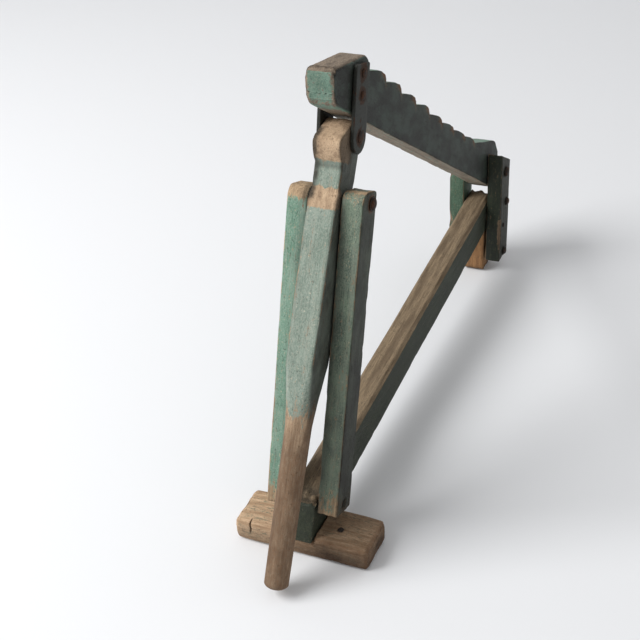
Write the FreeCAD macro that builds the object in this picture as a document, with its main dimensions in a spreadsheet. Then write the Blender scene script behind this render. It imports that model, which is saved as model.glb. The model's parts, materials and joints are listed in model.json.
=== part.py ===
"""Wooden toggle jack for lifting a wagon axle, in separate solids.

A stepped lifting bar is hinged at the rear frame. A pair of uprights stands on a
pin through the base beam, a hand lever turns on a bolt between their tops, and
the lever's short arm carries the bar through two iron straps. The jack is drawn
raised, with the handle down in front of the foot.

X runs across the jack, Y from the foot to the rear frame, Z up. Millimetres.
"""
import FreeCAD, Part
import math
import os

import Sketcher

os.makedirs("parts", exist_ok=True)
doc = FreeCAD.newDocument("wagon_jack")

DIMS = [
    # front foot
    ("foot_half_length", 105.0), ("foot_depth", 76.0), ("foot_height", 38.6), ("foot_round", 7.0),
    ("notch_half_width", 21.9), ("notch_floor", 31.0),
    # base beam
    ("beam_half_width", 21.6), ("beam_seat", 31.2), ("beam_toe_y", -43.0), ("beam_toe_top_y", -14.0),
    ("beam_toe_top_z", 94.6), ("beam_seat_end_y", 38.0), ("beam_end_y", 841.0),
    ("beam_end_low_z", 90.0), ("beam_end_top_z", 154.3), ("beam_chamfer", 4.5),
    # pivots in the side view
    ("foot_pin_y", 4.0), ("foot_pin_z", 80.0), ("rear_pin_y", 822.0), ("rear_pin_z", 208.0),
    # front uprights, measured from the foot pin along the lean
    ("upright_lean", 19.4), ("upright_inner", 23.2), ("upright_thick", 32.2), ("upright_front", -23.0),
    ("upright_back", 26.4), ("upright_low", -13.9), ("upright_top", 445.6),
    ("lever_bolt_back", 8.1), ("lever_bolt_up", 428.5), ("upright_nose", 17.0), ("upright_heel", 8.0),
    ("upright_edge", 1.6),
    # hand lever, measured from the handle's own axis
    ("lever_lean", 29.07), ("lever_half_width", 22.0), ("lever_half_depth", 29.0),
    ("head_half_width", 20.9), ("lever_pin_back", 10.9), ("strap_pin_back", 7.4), ("strap_pin_up", 84.5),
    ("shoulder_low", -6.0), ("shoulder_top", 9.0), ("neck_front", -24.2), ("neck_top", 41.0),
    ("brow_low_front", -32.5), ("brow_low_up", 55.0), ("brow_front", -43.6), ("brow_up", 74.8),
    ("crown_up", 127.2), ("crown_round", 21.8), ("handle_end", -541.0), ("handle_tip_r", 14.0),
    ("handle_low_r", 17.9), ("handle_top_r", 19.0), ("handle_top", -316.0), ("cone_top", -217.0),
    ("cone_r", 40.0), ("groove_r", 60.0),
    # stepped bar, measured along and square to its underside
    ("bar_slope", -33.18), ("bar_half_width", 21.2),
    ("cap_lean", -20.9), ("cap_front_rise", 43.0), ("first_base_s", 103.1), ("step_pitch", 71.9),
    ("tail_top_s", 812.0), ("tail_top_n", 86.0), ("tail_s", 858.0), ("tail_n", 67.0),
    ("nose_round", 6.5), ("cap_round", 13.0), ("tail_round", 14.0), ("cap_edge", 5.0),
    ("slot_s", 809.6), ("slot_n", 30.0), ("slot_drop", 5.6), ("slot_radius", 7.4),
    ("bar_pin_s", 91.33), ("bar_pin_n", -22.72),
    # iron straps
    ("strap_inner", 21.5), ("strap_thick", 5.5), ("strap_half", 22.8), ("strap_reach", 96.0),
    ("strap_tilt", 18.2), ("rivet_up_a", 83.4), ("rivet_up_b", 54.6), ("rivet_r", 4.5),
    # rear frame
    ("cheek_inner", 21.9), ("cheek_thick", 30.0), ("cheek_front", 792.0), ("cheek_depth", 54.0),
    ("cheek_low", 25.0), ("cheek_top", 251.0), ("cheek_lean", 9.0),
    ("cheek_back_top", 219.0), ("cheek_back_lean", 7.7), ("cheek_edge", 1.6),
    ("leg_half_width", 19.6), ("leg_front", 790.0), ("leg_back", 843.0), ("leg_round", 11.0),
    ("leg_front_top", 86.0), ("leg_back_top", 89.8),
    ("beam_bolt_y", 830.0), ("beam_bolt_z", 142.0), ("leg_bolt_y", 819.0), ("leg_bolt_z", 39.0),
    # ironwork
    ("pin_r", 6.0), ("fit", 0.05), ("small_pin_r", 4.0), ("washer_over", 4.6), ("washer_thick", 1.8),
    ("head_over", 2.6), ("head_thick", 3.6), ("end_sunk", 0.6),
    ("rivet_head_r", 6.4), ("rivet_head_thick", 3.2), ("nail_r", 2.2),
    ("nail_head_r", 4.6), ("nail_head_thick", 1.8), ("nail_length", 44.0), ("short_nail", 30.0),
    ("foot_nail_x", 52.0), ("foot_nail_y", -6.0), ("cheek_nail_y", 814.0), ("cheek_nail_z", 98.0),
]

sheet = doc.addObject("Spreadsheet::Sheet", "dims")
for row, (alias, value) in enumerate(DIMS, start=1):
    sheet.set("A%d" % row, alias)
    sheet.set("B%d" % row, str(value))
    sheet.setAlias("B%d" % row, alias)
doc.recompute()


def val(alias):
    """The value of one driving dimension."""
    return float(sheet.get(alias))


def bound(text):
    """The number an expression on the sheet gives, for a first value before it is bound."""
    names = {alias: val(alias) for alias, _ in DIMS}
    total = 0.0
    for term in text.replace(" - ", " + -").split(" + "):
        factor = 1.0
        for item in term.split(" * "):
            sign = -1.0 if item.startswith("-") else 1.0
            item = item.lstrip("-")
            factor *= sign * (names[item] if item in names else float(item))
        total += factor
    return total


def with_sheet(text):
    """The same expression with every driving dimension read from the sheet."""
    words = []
    for item in text.split(" "):
        sign = "-" if item.startswith("-") and len(item) > 1 else ""
        core = item[len(sign):]
        words.append(sign + ("dims." + core if core[:1].isalpha() else core))
    return " ".join(words)


def drive(sketch, kind, geo, pos, text):
    """A horizontal or vertical distance from the sketch origin, bound to the sheet."""
    index = sketch.addConstraint(Sketcher.Constraint(kind, -1, 1, geo, pos, bound(text)))
    sketch.setExpression("Constraints[%d]" % index, with_sheet(text))


def profile(body, name, plane, corners, holes=()):
    """A closed outline of straight lines with round holes; every corner is driven by the sheet."""
    sketch = body.newObject("Sketcher::SketchObject", name)
    origin = [f for f in body.Origin.OriginFeatures if f.Role == plane][0]
    sketch.AttachmentSupport = [(origin, "")]
    sketch.MapMode = "FlatFace"
    points = [FreeCAD.Vector(bound(a), bound(b), 0) for a, b in corners]
    count = len(points)
    for i in range(count):
        sketch.addGeometry(Part.LineSegment(points[i], points[(i + 1) % count]), False)
    for i in range(count):
        sketch.addConstraint(Sketcher.Constraint("Coincident", i, 2, (i + 1) % count, 1))
    for i, (a, b) in enumerate(corners):
        drive(sketch, "DistanceX", i, 1, a)
        drive(sketch, "DistanceY", i, 1, b)
    for a, b, radius in holes:
        centre = FreeCAD.Vector(bound(a), bound(b), 0)
        geo = sketch.addGeometry(Part.Circle(centre, FreeCAD.Vector(0, 0, 1), bound(radius)), False)
        if a != "0":
            drive(sketch, "DistanceX", geo, 3, a)
        if b != "0":
            drive(sketch, "DistanceY", geo, 3, b)
        index = sketch.addConstraint(Sketcher.Constraint("Radius", geo, bound(radius)))
        sketch.setExpression("Constraints[%d]" % index, with_sheet(radius))
    return sketch


def pad(body, sketch, length):
    """A pad of the sketch, half to each side of its plane."""
    feature = body.newObject("PartDesign::Pad", sketch.Name + "_pad")
    feature.Profile = sketch
    feature.SideType = "Symmetric"
    feature.Length = bound(length)
    feature.setExpression("Length", with_sheet(length))
    sketch.Visibility = False
    body.Tip = feature
    doc.recompute()
    return feature


def cut_through(body, sketch):
    """A pocket of the sketch, right through to both sides; it must take some wood away."""
    before = body.Shape.Volume
    feature = body.newObject("PartDesign::Pocket", sketch.Name + "_pocket")
    feature.Profile = sketch
    feature.SideType = "Symmetric"
    feature.Type = "ThroughAll"
    sketch.Visibility = False
    body.Tip = feature
    doc.recompute()
    if feature.Shape.Volume > before - 1.0:
        raise RuntimeError(sketch.Name + " cuts nothing")
    return feature


def edges_where(feature, test):
    """Names of the feature's edges whose end points and direction pass a test."""
    names = []
    for i, edge in enumerate(feature.Shape.Edges, start=1):
        if len(edge.Vertexes) == 2 and test(edge, edge.CenterOfMass):
            names.append("Edge%d" % i)
    return names


def dress(body, kind, name, feature, names, size):
    """A fillet or chamfer of the named edges, with its size read from the sheet."""
    new = body.newObject("PartDesign::" + kind, name)
    new.Base = (feature, names)
    prop = "Radius" if kind == "Fillet" else "Size"
    setattr(new, prop, val(size))
    new.setExpression(prop, "dims." + size)
    body.Tip = new
    doc.recompute()
    return new


def across(edge):
    """True for an edge that runs along X."""
    line = edge.Vertexes[1].Point - edge.Vertexes[0].Point
    return line.Length > 1.0 and abs(line.x) > 0.999 * line.Length


def near(point, y, z, reach=0.6):
    """True when a point lies within reach of y, z in the side view."""
    return math.hypot(point.y - y, point.z - z) < reach


def new_body(label):
    """An empty body whose label is the file name of its node."""
    body = doc.addObject("PartDesign::Body", label)
    body.Label = label
    return body


def lean(angle):
    """The turn about X that tips a piece's own Z axis towards the rear by the angle."""
    return FreeCAD.Rotation(FreeCAD.Vector(1, 0, 0), -angle)


nodes = []

# Front foot: a cross block on the floor, notched on top for the beam.
foot = new_body("front_foot")
foot_outline = profile(foot, "foot_outline", "XZ_Plane", [
    ("-foot_half_length", "0.01"), ("foot_half_length", "0.01"),
    ("foot_half_length", "foot_height"), ("notch_half_width", "foot_height"),
    ("notch_half_width", "notch_floor"), ("-notch_half_width", "notch_floor"),
    ("-notch_half_width", "foot_height"), ("-foot_half_length", "foot_height")])
foot_block = pad(foot, foot_outline, "foot_depth")
half_depth = val("foot_depth") / 2


def foot_edge(edge, mid):
    """Top long edges, top end edges and upright corner edges of the foot."""
    at_face = abs(abs(mid.y) - half_depth) < 0.1
    at_end = abs(abs(mid.x) - val("foot_half_length")) < 0.1
    at_top = abs(mid.z - val("foot_height")) < 0.1
    return (at_face and at_top) or (at_end and at_top) or (at_face and at_end)


dress(foot, "Fillet", "foot_worn_edges", foot_block, edges_where(foot_block, foot_edge), "foot_round")
nodes.append(foot)

# Base beam: one long plank, sledge-cut at the toe and rising slightly to the rear.
beam = new_body("base_beam")
beam_outline = profile(beam, "beam_outline", "YZ_Plane", [
    ("beam_toe_y", "beam_seat"), ("beam_seat_end_y", "beam_seat"), ("beam_end_y", "beam_end_low_z"),
    ("beam_end_y", "beam_end_top_z"), ("beam_toe_top_y", "beam_toe_top_z")],
    [("foot_pin_y", "foot_pin_z", "pin_r + fit"), ("beam_bolt_y", "beam_bolt_z", "small_pin_r + fit")])
beam_plank = pad(beam, beam_outline, "2 * beam_half_width")
top_slope = ((val("beam_end_top_z") - val("beam_toe_top_z"))
             / (val("beam_end_y") - val("beam_toe_top_y")))


def beam_top_edge(edge, mid):
    """The two long edges of the beam's top."""
    height = val("beam_toe_top_z") + top_slope * (mid.y - val("beam_toe_top_y"))
    return abs(mid.z - height) < 0.2 and abs(abs(mid.x) - val("beam_half_width")) < 0.1


dress(beam, "Chamfer", "beam_top_bevel", beam_plank, edges_where(beam_plank, beam_top_edge),
      "beam_chamfer")
nodes.append(beam)

# Front uprights: a pair that straddles the beam and the lever.
for side, name in ((1, "upright_right"), (-1, "upright_left")):
    upright = new_body(name)
    outline = profile(upright, name + "_outline", "YZ_Plane", [
        ("upright_front", "upright_low"), ("upright_back", "upright_low"),
        ("upright_back", "upright_top"), ("upright_front", "upright_top")],
        [("0", "0", "pin_r + fit"), ("lever_bolt_back", "lever_bolt_up", "pin_r + fit")])
    plank = pad(upright, outline, "upright_thick")
    nose = edges_where(plank, lambda e, m: across(e) and near(m, val("upright_front"), val("upright_top")))
    rounded = dress(upright, "Fillet", name + "_nose", plank, nose, "upright_nose")
    heel = edges_where(rounded, lambda e, m: across(e) and near(m, val("upright_back"), val("upright_top")))
    rounded = dress(upright, "Fillet", name + "_heel", rounded, heel, "upright_heel")
    longs = edges_where(rounded, lambda e, m: e.Length > 300)
    dress(upright, "Chamfer", name + "_edges", rounded, longs, "upright_edge")
    offset = side * (val("upright_inner") + val("upright_thick") / 2)
    upright.Placement = FreeCAD.Placement(
        FreeCAD.Vector(offset, val("foot_pin_y"), val("foot_pin_z")), lean(val("upright_lean")))
    nodes.append(upright)

# Where the lever bolt falls in the side view, from the uprights' own lean.
lean_sin = math.sin(math.radians(val("upright_lean")))
lean_cos = math.cos(math.radians(val("upright_lean")))
lever_bolt_y = val("foot_pin_y") + val("lever_bolt_back") * lean_cos + val("lever_bolt_up") * lean_sin
lever_bolt_z = val("foot_pin_z") - val("lever_bolt_back") * lean_sin + val("lever_bolt_up") * lean_cos

# Hand lever: a plank with a rounded head, shaved down to a round handle.
lever = new_body("lever")
lever_outline = profile(lever, "lever_outline", "YZ_Plane", [
    ("-lever_half_depth", "handle_end"), ("lever_half_depth", "handle_end"),
    ("lever_half_depth", "crown_up"), ("brow_front", "brow_up"), ("brow_low_front", "brow_low_up"),
    ("neck_front", "neck_top"), ("neck_front", "shoulder_top"), ("-lever_half_depth", "shoulder_low")],
    [("lever_pin_back", "0", "pin_r + fit"), ("strap_pin_back", "strap_pin_up", "pin_r + fit")])
lever_plank = pad(lever, lever_outline, "2 * lever_half_width")
crown = edges_where(lever_plank, lambda e, m: across(e) and near(m, val("lever_half_depth"), val("crown_up")))
lever_crown = dress(lever, "Fillet", "lever_crown", lever_plank, crown, "crown_round")
for hand, sign in (("right", ""), ("left", "-")):
    relief = profile(lever, "head_relief_" + hand, "XZ_Plane", [
        (sign + "head_half_width", "shoulder_top"), (sign + "groove_r", "shoulder_top"),
        (sign + "groove_r", "crown_up"), (sign + "head_half_width", "crown_up")])
    cut_through(lever, relief)
shave = profile(lever, "handle_shave", "YZ_Plane", [
    ("handle_tip_r", "handle_end"), ("handle_low_r", "handle_end + 5"), ("handle_top_r", "handle_top"),
    ("cone_r", "cone_top"), ("groove_r", "cone_top"), ("groove_r", "handle_end - 5"),
    ("handle_tip_r", "handle_end - 5")])
plank_volume = lever.Shape.Volume
groove = lever.newObject("PartDesign::Groove", "handle_groove")
groove.Profile = shave
groove.ReferenceAxis = (shave, ["V_Axis"])
groove.Angle = 360.0
shave.Visibility = False
lever.Tip = groove
doc.recompute()
if groove.Shape.Volume > plank_volume - 1.0:
    raise RuntimeError("the handle is not shaved")
lever_sin = math.sin(math.radians(val("lever_lean")))
lever_cos = math.cos(math.radians(val("lever_lean")))
lever.Placement = FreeCAD.Placement(
    FreeCAD.Vector(0, lever_bolt_y - val("lever_pin_back") * lever_cos,
                   lever_bolt_z + val("lever_pin_back") * lever_sin), lean(val("lever_lean")))
nodes.append(lever)

# Where the strap pin falls in the side view, and the frame of the bar that hangs on it.
pin_at = lever.Placement.multVec(FreeCAD.Vector(0, val("strap_pin_back"), val("strap_pin_up")))
bar_turn = lean(-val("bar_slope"))
bar_place = FreeCAD.Placement(
    pin_at - bar_turn.multVec(FreeCAD.Vector(0, val("bar_pin_s"), val("bar_pin_n"))), bar_turn)

# Stepped bar: a capped front lobe, eight treads and a rounded tail.
bar = new_body("step_bar")
# Each step's height above the underside, and the riser in front of it. Wear has eaten the rear ones.
STEPS = ((67.6, 24.5), (67.4, 18.0), (65.0, 17.5), (62.4, 17.0), (61.2, 15.5), (60.6, 10.5), (61.0, 7.5),
         (61.6, 6.6), (61.0, 9.0))
riser = (math.sin(math.radians(val("bar_slope"))), math.cos(math.radians(val("bar_slope"))))
corners = [("0.01", "0.01"), ("cap_lean", "cap_front_rise")]
noses = []
for i, (base_n, climb) in enumerate(STEPS):
    base_s = val("first_base_s") + i * val("step_pitch")
    back = climb * riser[0]
    rise = climb * riser[1]
    noses.append((base_s + back, base_n + rise))
    base_s_text = "first_base_s + %d * step_pitch" % i
    corners.append(("%s + %.3f" % (base_s_text, back), "%.3f" % (base_n + rise)))
    corners.append((base_s_text, "%.3f" % base_n))
corners += [("tail_top_s", "tail_top_n"), ("tail_s", "tail_n"), ("tail_s", "0.01")]
strap_s = -math.sin(math.radians(val("strap_tilt")))
strap_n = math.cos(math.radians(val("strap_tilt")))
rivets = []
for reach in ("rivet_up_a", "rivet_up_b"):
    rivets.append(("bar_pin_s + %s * %.5f" % (reach, strap_s), "bar_pin_n + %s * %.5f" % (reach, strap_n)))
bar_outline = profile(bar, "bar_outline", "YZ_Plane", corners,
                      [(s, n, "rivet_r + fit") for s, n in rivets])
bar_plank = pad(bar, bar_outline, "2 * bar_half_width")
slot = profile(bar, "bar_slot", "YZ_Plane", [
    ("slot_s - slot_radius", "slot_n + slot_radius"),
    ("slot_s - slot_radius", "slot_n - slot_drop - slot_radius"),
    ("slot_s + slot_radius", "slot_n - slot_drop - slot_radius"),
    ("slot_s + slot_radius", "slot_n + slot_radius")])
slotted = cut_through(bar, slot)


def slot_edge(edge, mid):
    """The four corners of the slot."""
    beside = abs(abs(mid.y - val("slot_s")) - val("slot_radius")) < 0.1
    return across(edge) and beside and 10 < mid.z < val("slot_n") + 8


slot_corners = edges_where(slotted, slot_edge)
slotted = dress(bar, "Fillet", "slot_ends", slotted, slot_corners, "nose_round")
tips = edges_where(slotted, lambda e, m: across(e) and any(near(m, s, n) for s, n in noses[1:]))
worn = dress(bar, "Fillet", "worn_noses", slotted, tips, "nose_round")
tip = edges_where(worn, lambda e, m: across(e) and near(m, noses[0][0], noses[0][1]))
worn = dress(bar, "Fillet", "cap_nose", worn, tip, "cap_round")
cap = edges_where(worn, lambda e, m: across(e) and (
    near(m, val("cap_lean"), val("cap_front_rise")) or near(m, 0, 0)))
worn = dress(bar, "Chamfer", "cap_bevel", worn, cap, "cap_edge")
tail = edges_where(worn, lambda e, m: across(e) and (
    near(m, val("tail_s"), val("tail_n")) or near(m, val("tail_s"), 0)))
dress(bar, "Fillet", "tail_corners", worn, tail, "tail_round")
bar.Placement = bar_place
nodes.append(bar)

# Straps: flat iron on both sides of the bar, rounded where the lever's pin goes through.
for side, name in ((1, "strap_right"), (-1, "strap_left")):
    plate = doc.addObject("Part::Box", name + "_plate")
    plate.setExpression("Length", "dims.strap_thick")
    plate.setExpression("Width", "2 * dims.strap_half")
    plate.setExpression("Height", "dims.strap_reach")
    plate.setExpression("Placement.Base.y", "-dims.strap_half")
    eye = doc.addObject("Part::Cylinder", name + "_eye")
    eye.setExpression("Radius", "dims.strap_half")
    eye.setExpression("Height", "dims.strap_thick")
    eye.Placement = FreeCAD.Placement(FreeCAD.Vector(0, 0, 0), FreeCAD.Rotation(FreeCAD.Vector(0, 1, 0), 90))
    blank = doc.addObject("Part::MultiFuse", name + "_blank")
    blank.Shapes = [plate, eye]
    blank.Refine = True
    punches = []
    for label, radius, reach in (("pin", "dims.pin_r + dims.fit", "0"),
                                 ("rivet_a", "dims.rivet_r + dims.fit", "dims.rivet_up_a"),
                                 ("rivet_b", "dims.rivet_r + dims.fit", "dims.rivet_up_b")):
        punch = doc.addObject("Part::Cylinder", name + "_punch_" + label)
        punch.setExpression("Radius", radius)
        punch.setExpression("Height", "dims.strap_thick + 4")
        punch.Placement = FreeCAD.Placement(
            FreeCAD.Vector(-2, 0, 0), FreeCAD.Rotation(FreeCAD.Vector(0, 1, 0), 90))
        punch.setExpression("Placement.Base.z", reach)
        punches.append(punch)
    tool = doc.addObject("Part::MultiFuse", name + "_punches")
    tool.Shapes = punches
    strap = doc.addObject("Part::Cut", name)
    strap.Base = blank
    strap.Tool = tool
    strap.Label = name
    start = val("strap_inner") if side > 0 else -val("strap_inner") - val("strap_thick")
    strap.Placement = FreeCAD.Placement(
        FreeCAD.Vector(start, pin_at.y, pin_at.z), lean(-val("bar_slope") - val("strap_tilt")))
    nodes.append(strap)

# Rear frame: two cheeks that hold the beam, the bar's tail and a short leg.
for side, name in ((1, "rear_cheek_right"), (-1, "rear_cheek_left")):
    cheek = new_body(name)
    outline = profile(cheek, name + "_outline", "YZ_Plane", [
        ("cheek_front", "cheek_low"), ("cheek_front + cheek_depth", "cheek_low"),
        ("cheek_front + cheek_depth + cheek_back_lean", "cheek_back_top"),
        ("cheek_front + cheek_lean", "cheek_top")],
        [("rear_pin_y", "rear_pin_z", "pin_r + fit"), ("beam_bolt_y", "beam_bolt_z", "small_pin_r + fit"),
         ("leg_bolt_y", "leg_bolt_z", "small_pin_r + fit")])
    plank = pad(cheek, outline, "cheek_thick")
    longs = edges_where(plank, lambda e, m: not across(e) and e.Length > 50)
    dress(cheek, "Chamfer", name + "_edges", plank, longs, "cheek_edge")
    cheek.Placement.Base.x = side * (val("cheek_inner") + val("cheek_thick") / 2)
    nodes.append(cheek)

leg = new_body("rear_leg")
leg_outline = profile(leg, "leg_outline", "YZ_Plane", [
    ("leg_front", "0.01"), ("leg_back", "0.01"), ("leg_back", "leg_back_top"),
    ("leg_front", "leg_front_top")], [("leg_bolt_y", "leg_bolt_z", "small_pin_r + fit")])
leg_block = pad(leg, leg_outline, "2 * leg_half_width")
toes = edges_where(leg_block, lambda e, m: across(e) and m.z < 1)
dress(leg, "Fillet", "leg_toes", leg_block, toes, "leg_round")
nodes.append(leg)


def rod(name, radius, length, x, y, z, side=1):
    """A cylinder along X that starts at x and runs to the given side."""
    part = doc.addObject("Part::Cylinder", name)
    part.setExpression("Radius", radius)
    part.setExpression("Height", length)
    part.Placement = FreeCAD.Placement(
        FreeCAD.Vector(x, y, z), FreeCAD.Rotation(FreeCAD.Vector(0, 1, 0), 90 * side))
    return part


def dome(name, radius, height, x, y, z, side):
    """A flat cone along X that stands on x, for a hammered head."""
    part = doc.addObject("Part::Cone", name)
    part.setExpression("Radius1", radius)
    part.setExpression("Radius2", radius + " * 0.62")
    part.setExpression("Height", height)
    part.Placement = FreeCAD.Placement(
        FreeCAD.Vector(x, y, z), FreeCAD.Rotation(FreeCAD.Vector(0, 1, 0), 90 * side))
    return part


def joined(name, pieces):
    """One solid from pieces that overlap or touch."""
    whole = doc.addObject("Part::MultiFuse", name)
    whole.Shapes = pieces
    whole.Refine = True
    whole.Label = name
    return whole


def grouped(name, pieces):
    """One node of several separate identical solids."""
    group = doc.addObject("Part::Compound", name)
    group.Links = pieces
    group.Label = name
    return group


def bolt(name, radius, y, z, face):
    """A bolt with a hammered head on the right, its left end riveted over just inside the wood."""
    span = "2 * %.4f + dims.washer_thick - dims.end_sunk" % face
    shank = rod(name + "_shank", radius, span, val("end_sunk") - face, y, z)
    head = dome(name + "_head", radius + " + dims.head_over", "dims.head_thick",
                face + val("washer_thick"), y, z, 1)
    return joined(name, [shank, head])


def washer(name, radius, y, z, face):
    """The washer under a bolt's head, with the bolt's clearance in the middle."""
    blank = rod(name + "_blank", radius + " + dims.washer_over", "dims.washer_thick - dims.fit",
                face + val("fit"), y, z)
    hole = rod(name + "_hole", radius + " + dims.fit", "dims.washer_thick + 4", face - 2, y, z)
    ring = doc.addObject("Part::Cut", name)
    ring.Base = blank
    ring.Tool = hole
    ring.Label = name
    return ring


upright_face = val("upright_inner") + val("upright_thick")
cheek_face = val("cheek_inner") + val("cheek_thick")

# The pin at the foot has no head: its ends lie just inside the uprights.
foot_pin = rod("foot_pin", "dims.pin_r", "2 * (%.4f - 1.2)" % upright_face, 1.2 - upright_face,
               val("foot_pin_y"), val("foot_pin_z"))
foot_pin.Label = "foot_pin"
nodes.append(foot_pin)

for stem, radius, y, z, face in (
        ("lever_bolt", "pin_r", lever_bolt_y, lever_bolt_z, upright_face),
        ("rear_bolt", "pin_r", val("rear_pin_y"), val("rear_pin_z"), cheek_face),
        ("beam_bolt", "small_pin_r", val("beam_bolt_y"), val("beam_bolt_z"), cheek_face),
        ("leg_bolt", "small_pin_r", val("leg_bolt_y"), val("leg_bolt_z"), cheek_face)):
    nodes.append(bolt(stem, "dims." + radius, y, z, face))
    nodes.append(washer(stem + "_washer", "dims." + radius, y, z, face))

# The lever's pin in the straps is hammered over at both ends, and so are the strap rivets.
strap_face = val("strap_inner") + val("strap_thick")


def riveted(name, radius, head, height, s, n):
    """A pin through both straps with a hammered head at each end, placed on the bar's own axes."""
    at = bar_place.multVec(FreeCAD.Vector(0, s, n))
    y = at.y
    z = at.z
    span = "2 * %.4f" % (strap_face + val("fit"))
    pieces = [rod(name + "_shank", radius, span, -strap_face - val("fit"), y, z)]
    for side in (1, -1):
        label = name + ("_head_right" if side > 0 else "_head_left")
        pieces.append(dome(label, head, height, side * (strap_face + val("fit")), y, z, side))
    return joined(name, pieces)


nodes.append(riveted("strap_pin", "dims.pin_r", "dims.rivet_head_r * 1.35", "dims.rivet_head_thick",
                     val("bar_pin_s"), val("bar_pin_n")))
strap_rivets = []
for label, reach in (("a", "rivet_up_a"), ("b", "rivet_up_b")):
    strap_rivets.append(riveted("strap_rivet_" + label, "dims.rivet_r", "dims.rivet_head_r",
                                "dims.rivet_head_thick", val("bar_pin_s") + val(reach) * strap_s,
                                val("bar_pin_n") + val(reach) * strap_n))
nodes.append(grouped("strap_rivets", strap_rivets))


def nail(name, length, x, y, z, rotation):
    """A nail whose head stands on the wood at x, y, z, with its shank along -Z before turning."""
    shank = doc.addObject("Part::Cylinder", name + "_shank")
    shank.setExpression("Radius", "dims.nail_r")
    shank.setExpression("Height", "dims." + length)
    shank.setExpression("Placement.Base.z", "-dims." + length)
    head = doc.addObject("Part::Cone", name + "_head")
    head.setExpression("Radius1", "dims.nail_head_r")
    head.setExpression("Radius2", "dims.nail_head_r * 0.7")
    head.setExpression("Height", "dims.nail_head_thick")
    whole = joined(name, [shank, head])
    whole.Placement = FreeCAD.Placement(FreeCAD.Vector(x, y, z), rotation)
    return whole


# Nails: two up through the foot into the beam, one down into the foot's top, one in each cheek.
up = FreeCAD.Rotation()
down = FreeCAD.Rotation(FreeCAD.Vector(1, 0, 0), 180)
to_right = FreeCAD.Rotation(FreeCAD.Vector(0, 1, 0), 90)
to_left = FreeCAD.Rotation(FreeCAD.Vector(0, 1, 0), -90)
beam_nails = []
for label, x, y in (("front", 5.0, -22.0), ("back", -5.0, 24.0)):
    beam_nails.append(nail("beam_nail_" + label, "nail_length", x, y, val("nail_head_thick") + 0.4, down))
nodes.append(grouped("beam_nails", beam_nails))
nodes.append(nail("foot_nail", "short_nail", val("foot_nail_x"), val("foot_nail_y"), val("foot_height"), up))
cheek_nails = [
    nail("cheek_nail_right", "nail_length", cheek_face, val("cheek_nail_y"), val("cheek_nail_z"), to_right),
    nail("cheek_nail_left", "nail_length", -cheek_face, val("cheek_nail_y"), val("cheek_nail_z"), to_left)]
nodes.append(grouped("cheek_nails", cheek_nails))

for obj in nodes:
    obj.Visibility = True
doc.recompute()

for obj in doc.Objects:
    if "Invalid" in obj.State or "Error" in obj.State:
        raise RuntimeError("%s is %s" % (obj.Name, obj.State))
for obj in nodes:
    if obj.Shape.isNull() or not obj.Shape.isValid():
        raise RuntimeError(obj.Label + " has a bad shape")
    obj.Shape.exportStep("parts/%s.step" % obj.Label)
    box = obj.Shape.BoundBox
    print("%-22s solids %d  vol %9.0f  x %.1f %.1f  y %.1f %.1f  z %.1f %.1f" % (
        obj.Label, len(obj.Shape.Solids), obj.Shape.Volume, box.XMin, box.XMax, box.YMin, box.YMax,
        box.ZMin, box.ZMax))
print("lever bolt", lever_bolt_y, lever_bolt_z, "strap pin", pin_at.y, pin_at.z)
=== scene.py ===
import json
import math
from itertools import product

import bmesh
import bpy
import numpy as np
from mathutils import Matrix, Vector


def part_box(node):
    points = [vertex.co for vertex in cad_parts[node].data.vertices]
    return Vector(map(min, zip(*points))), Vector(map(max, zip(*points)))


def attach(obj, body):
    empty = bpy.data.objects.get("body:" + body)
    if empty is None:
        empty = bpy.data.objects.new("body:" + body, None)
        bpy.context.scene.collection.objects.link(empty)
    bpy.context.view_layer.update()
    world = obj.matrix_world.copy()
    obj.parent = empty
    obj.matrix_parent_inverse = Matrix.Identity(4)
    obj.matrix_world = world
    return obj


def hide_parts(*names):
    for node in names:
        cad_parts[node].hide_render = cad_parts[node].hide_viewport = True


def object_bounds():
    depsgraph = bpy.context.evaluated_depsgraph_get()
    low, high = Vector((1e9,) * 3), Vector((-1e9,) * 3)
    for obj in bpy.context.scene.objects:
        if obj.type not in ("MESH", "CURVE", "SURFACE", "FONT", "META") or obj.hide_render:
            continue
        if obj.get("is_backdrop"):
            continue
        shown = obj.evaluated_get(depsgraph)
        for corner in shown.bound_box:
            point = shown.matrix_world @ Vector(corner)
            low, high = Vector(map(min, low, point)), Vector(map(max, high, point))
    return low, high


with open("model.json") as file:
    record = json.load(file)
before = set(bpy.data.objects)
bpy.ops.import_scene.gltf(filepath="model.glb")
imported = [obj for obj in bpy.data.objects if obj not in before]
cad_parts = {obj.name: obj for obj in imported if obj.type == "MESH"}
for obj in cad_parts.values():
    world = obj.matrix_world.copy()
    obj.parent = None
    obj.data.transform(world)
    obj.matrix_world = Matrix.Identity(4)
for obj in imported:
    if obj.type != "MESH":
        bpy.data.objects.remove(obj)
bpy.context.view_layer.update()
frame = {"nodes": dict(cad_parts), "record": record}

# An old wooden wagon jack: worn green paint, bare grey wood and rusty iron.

# ---------------------------------------------------------------------------
# Front foot. A short block of oak laid across the jack, with its top edges rounded by
# a century of yards and cart sheds, and a notch on top where the beam is let in.
# It was painted once; only a greenish stain is left in the grain.
# ---------------------------------------------------------------------------
MM = 0.001


def corners(node):
    """The lowest and highest corner of a CAD node at rest, in mm."""
    return (np.array(corner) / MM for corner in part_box(node))


def eased(a, b, x):
    """0 below a, 1 above b, and 3t^2 - 2t^3 between them."""
    t = np.clip((x - a) / (b - a), 0.0, 1.0)
    return t * t * (3.0 - 2.0 * t)


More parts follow.
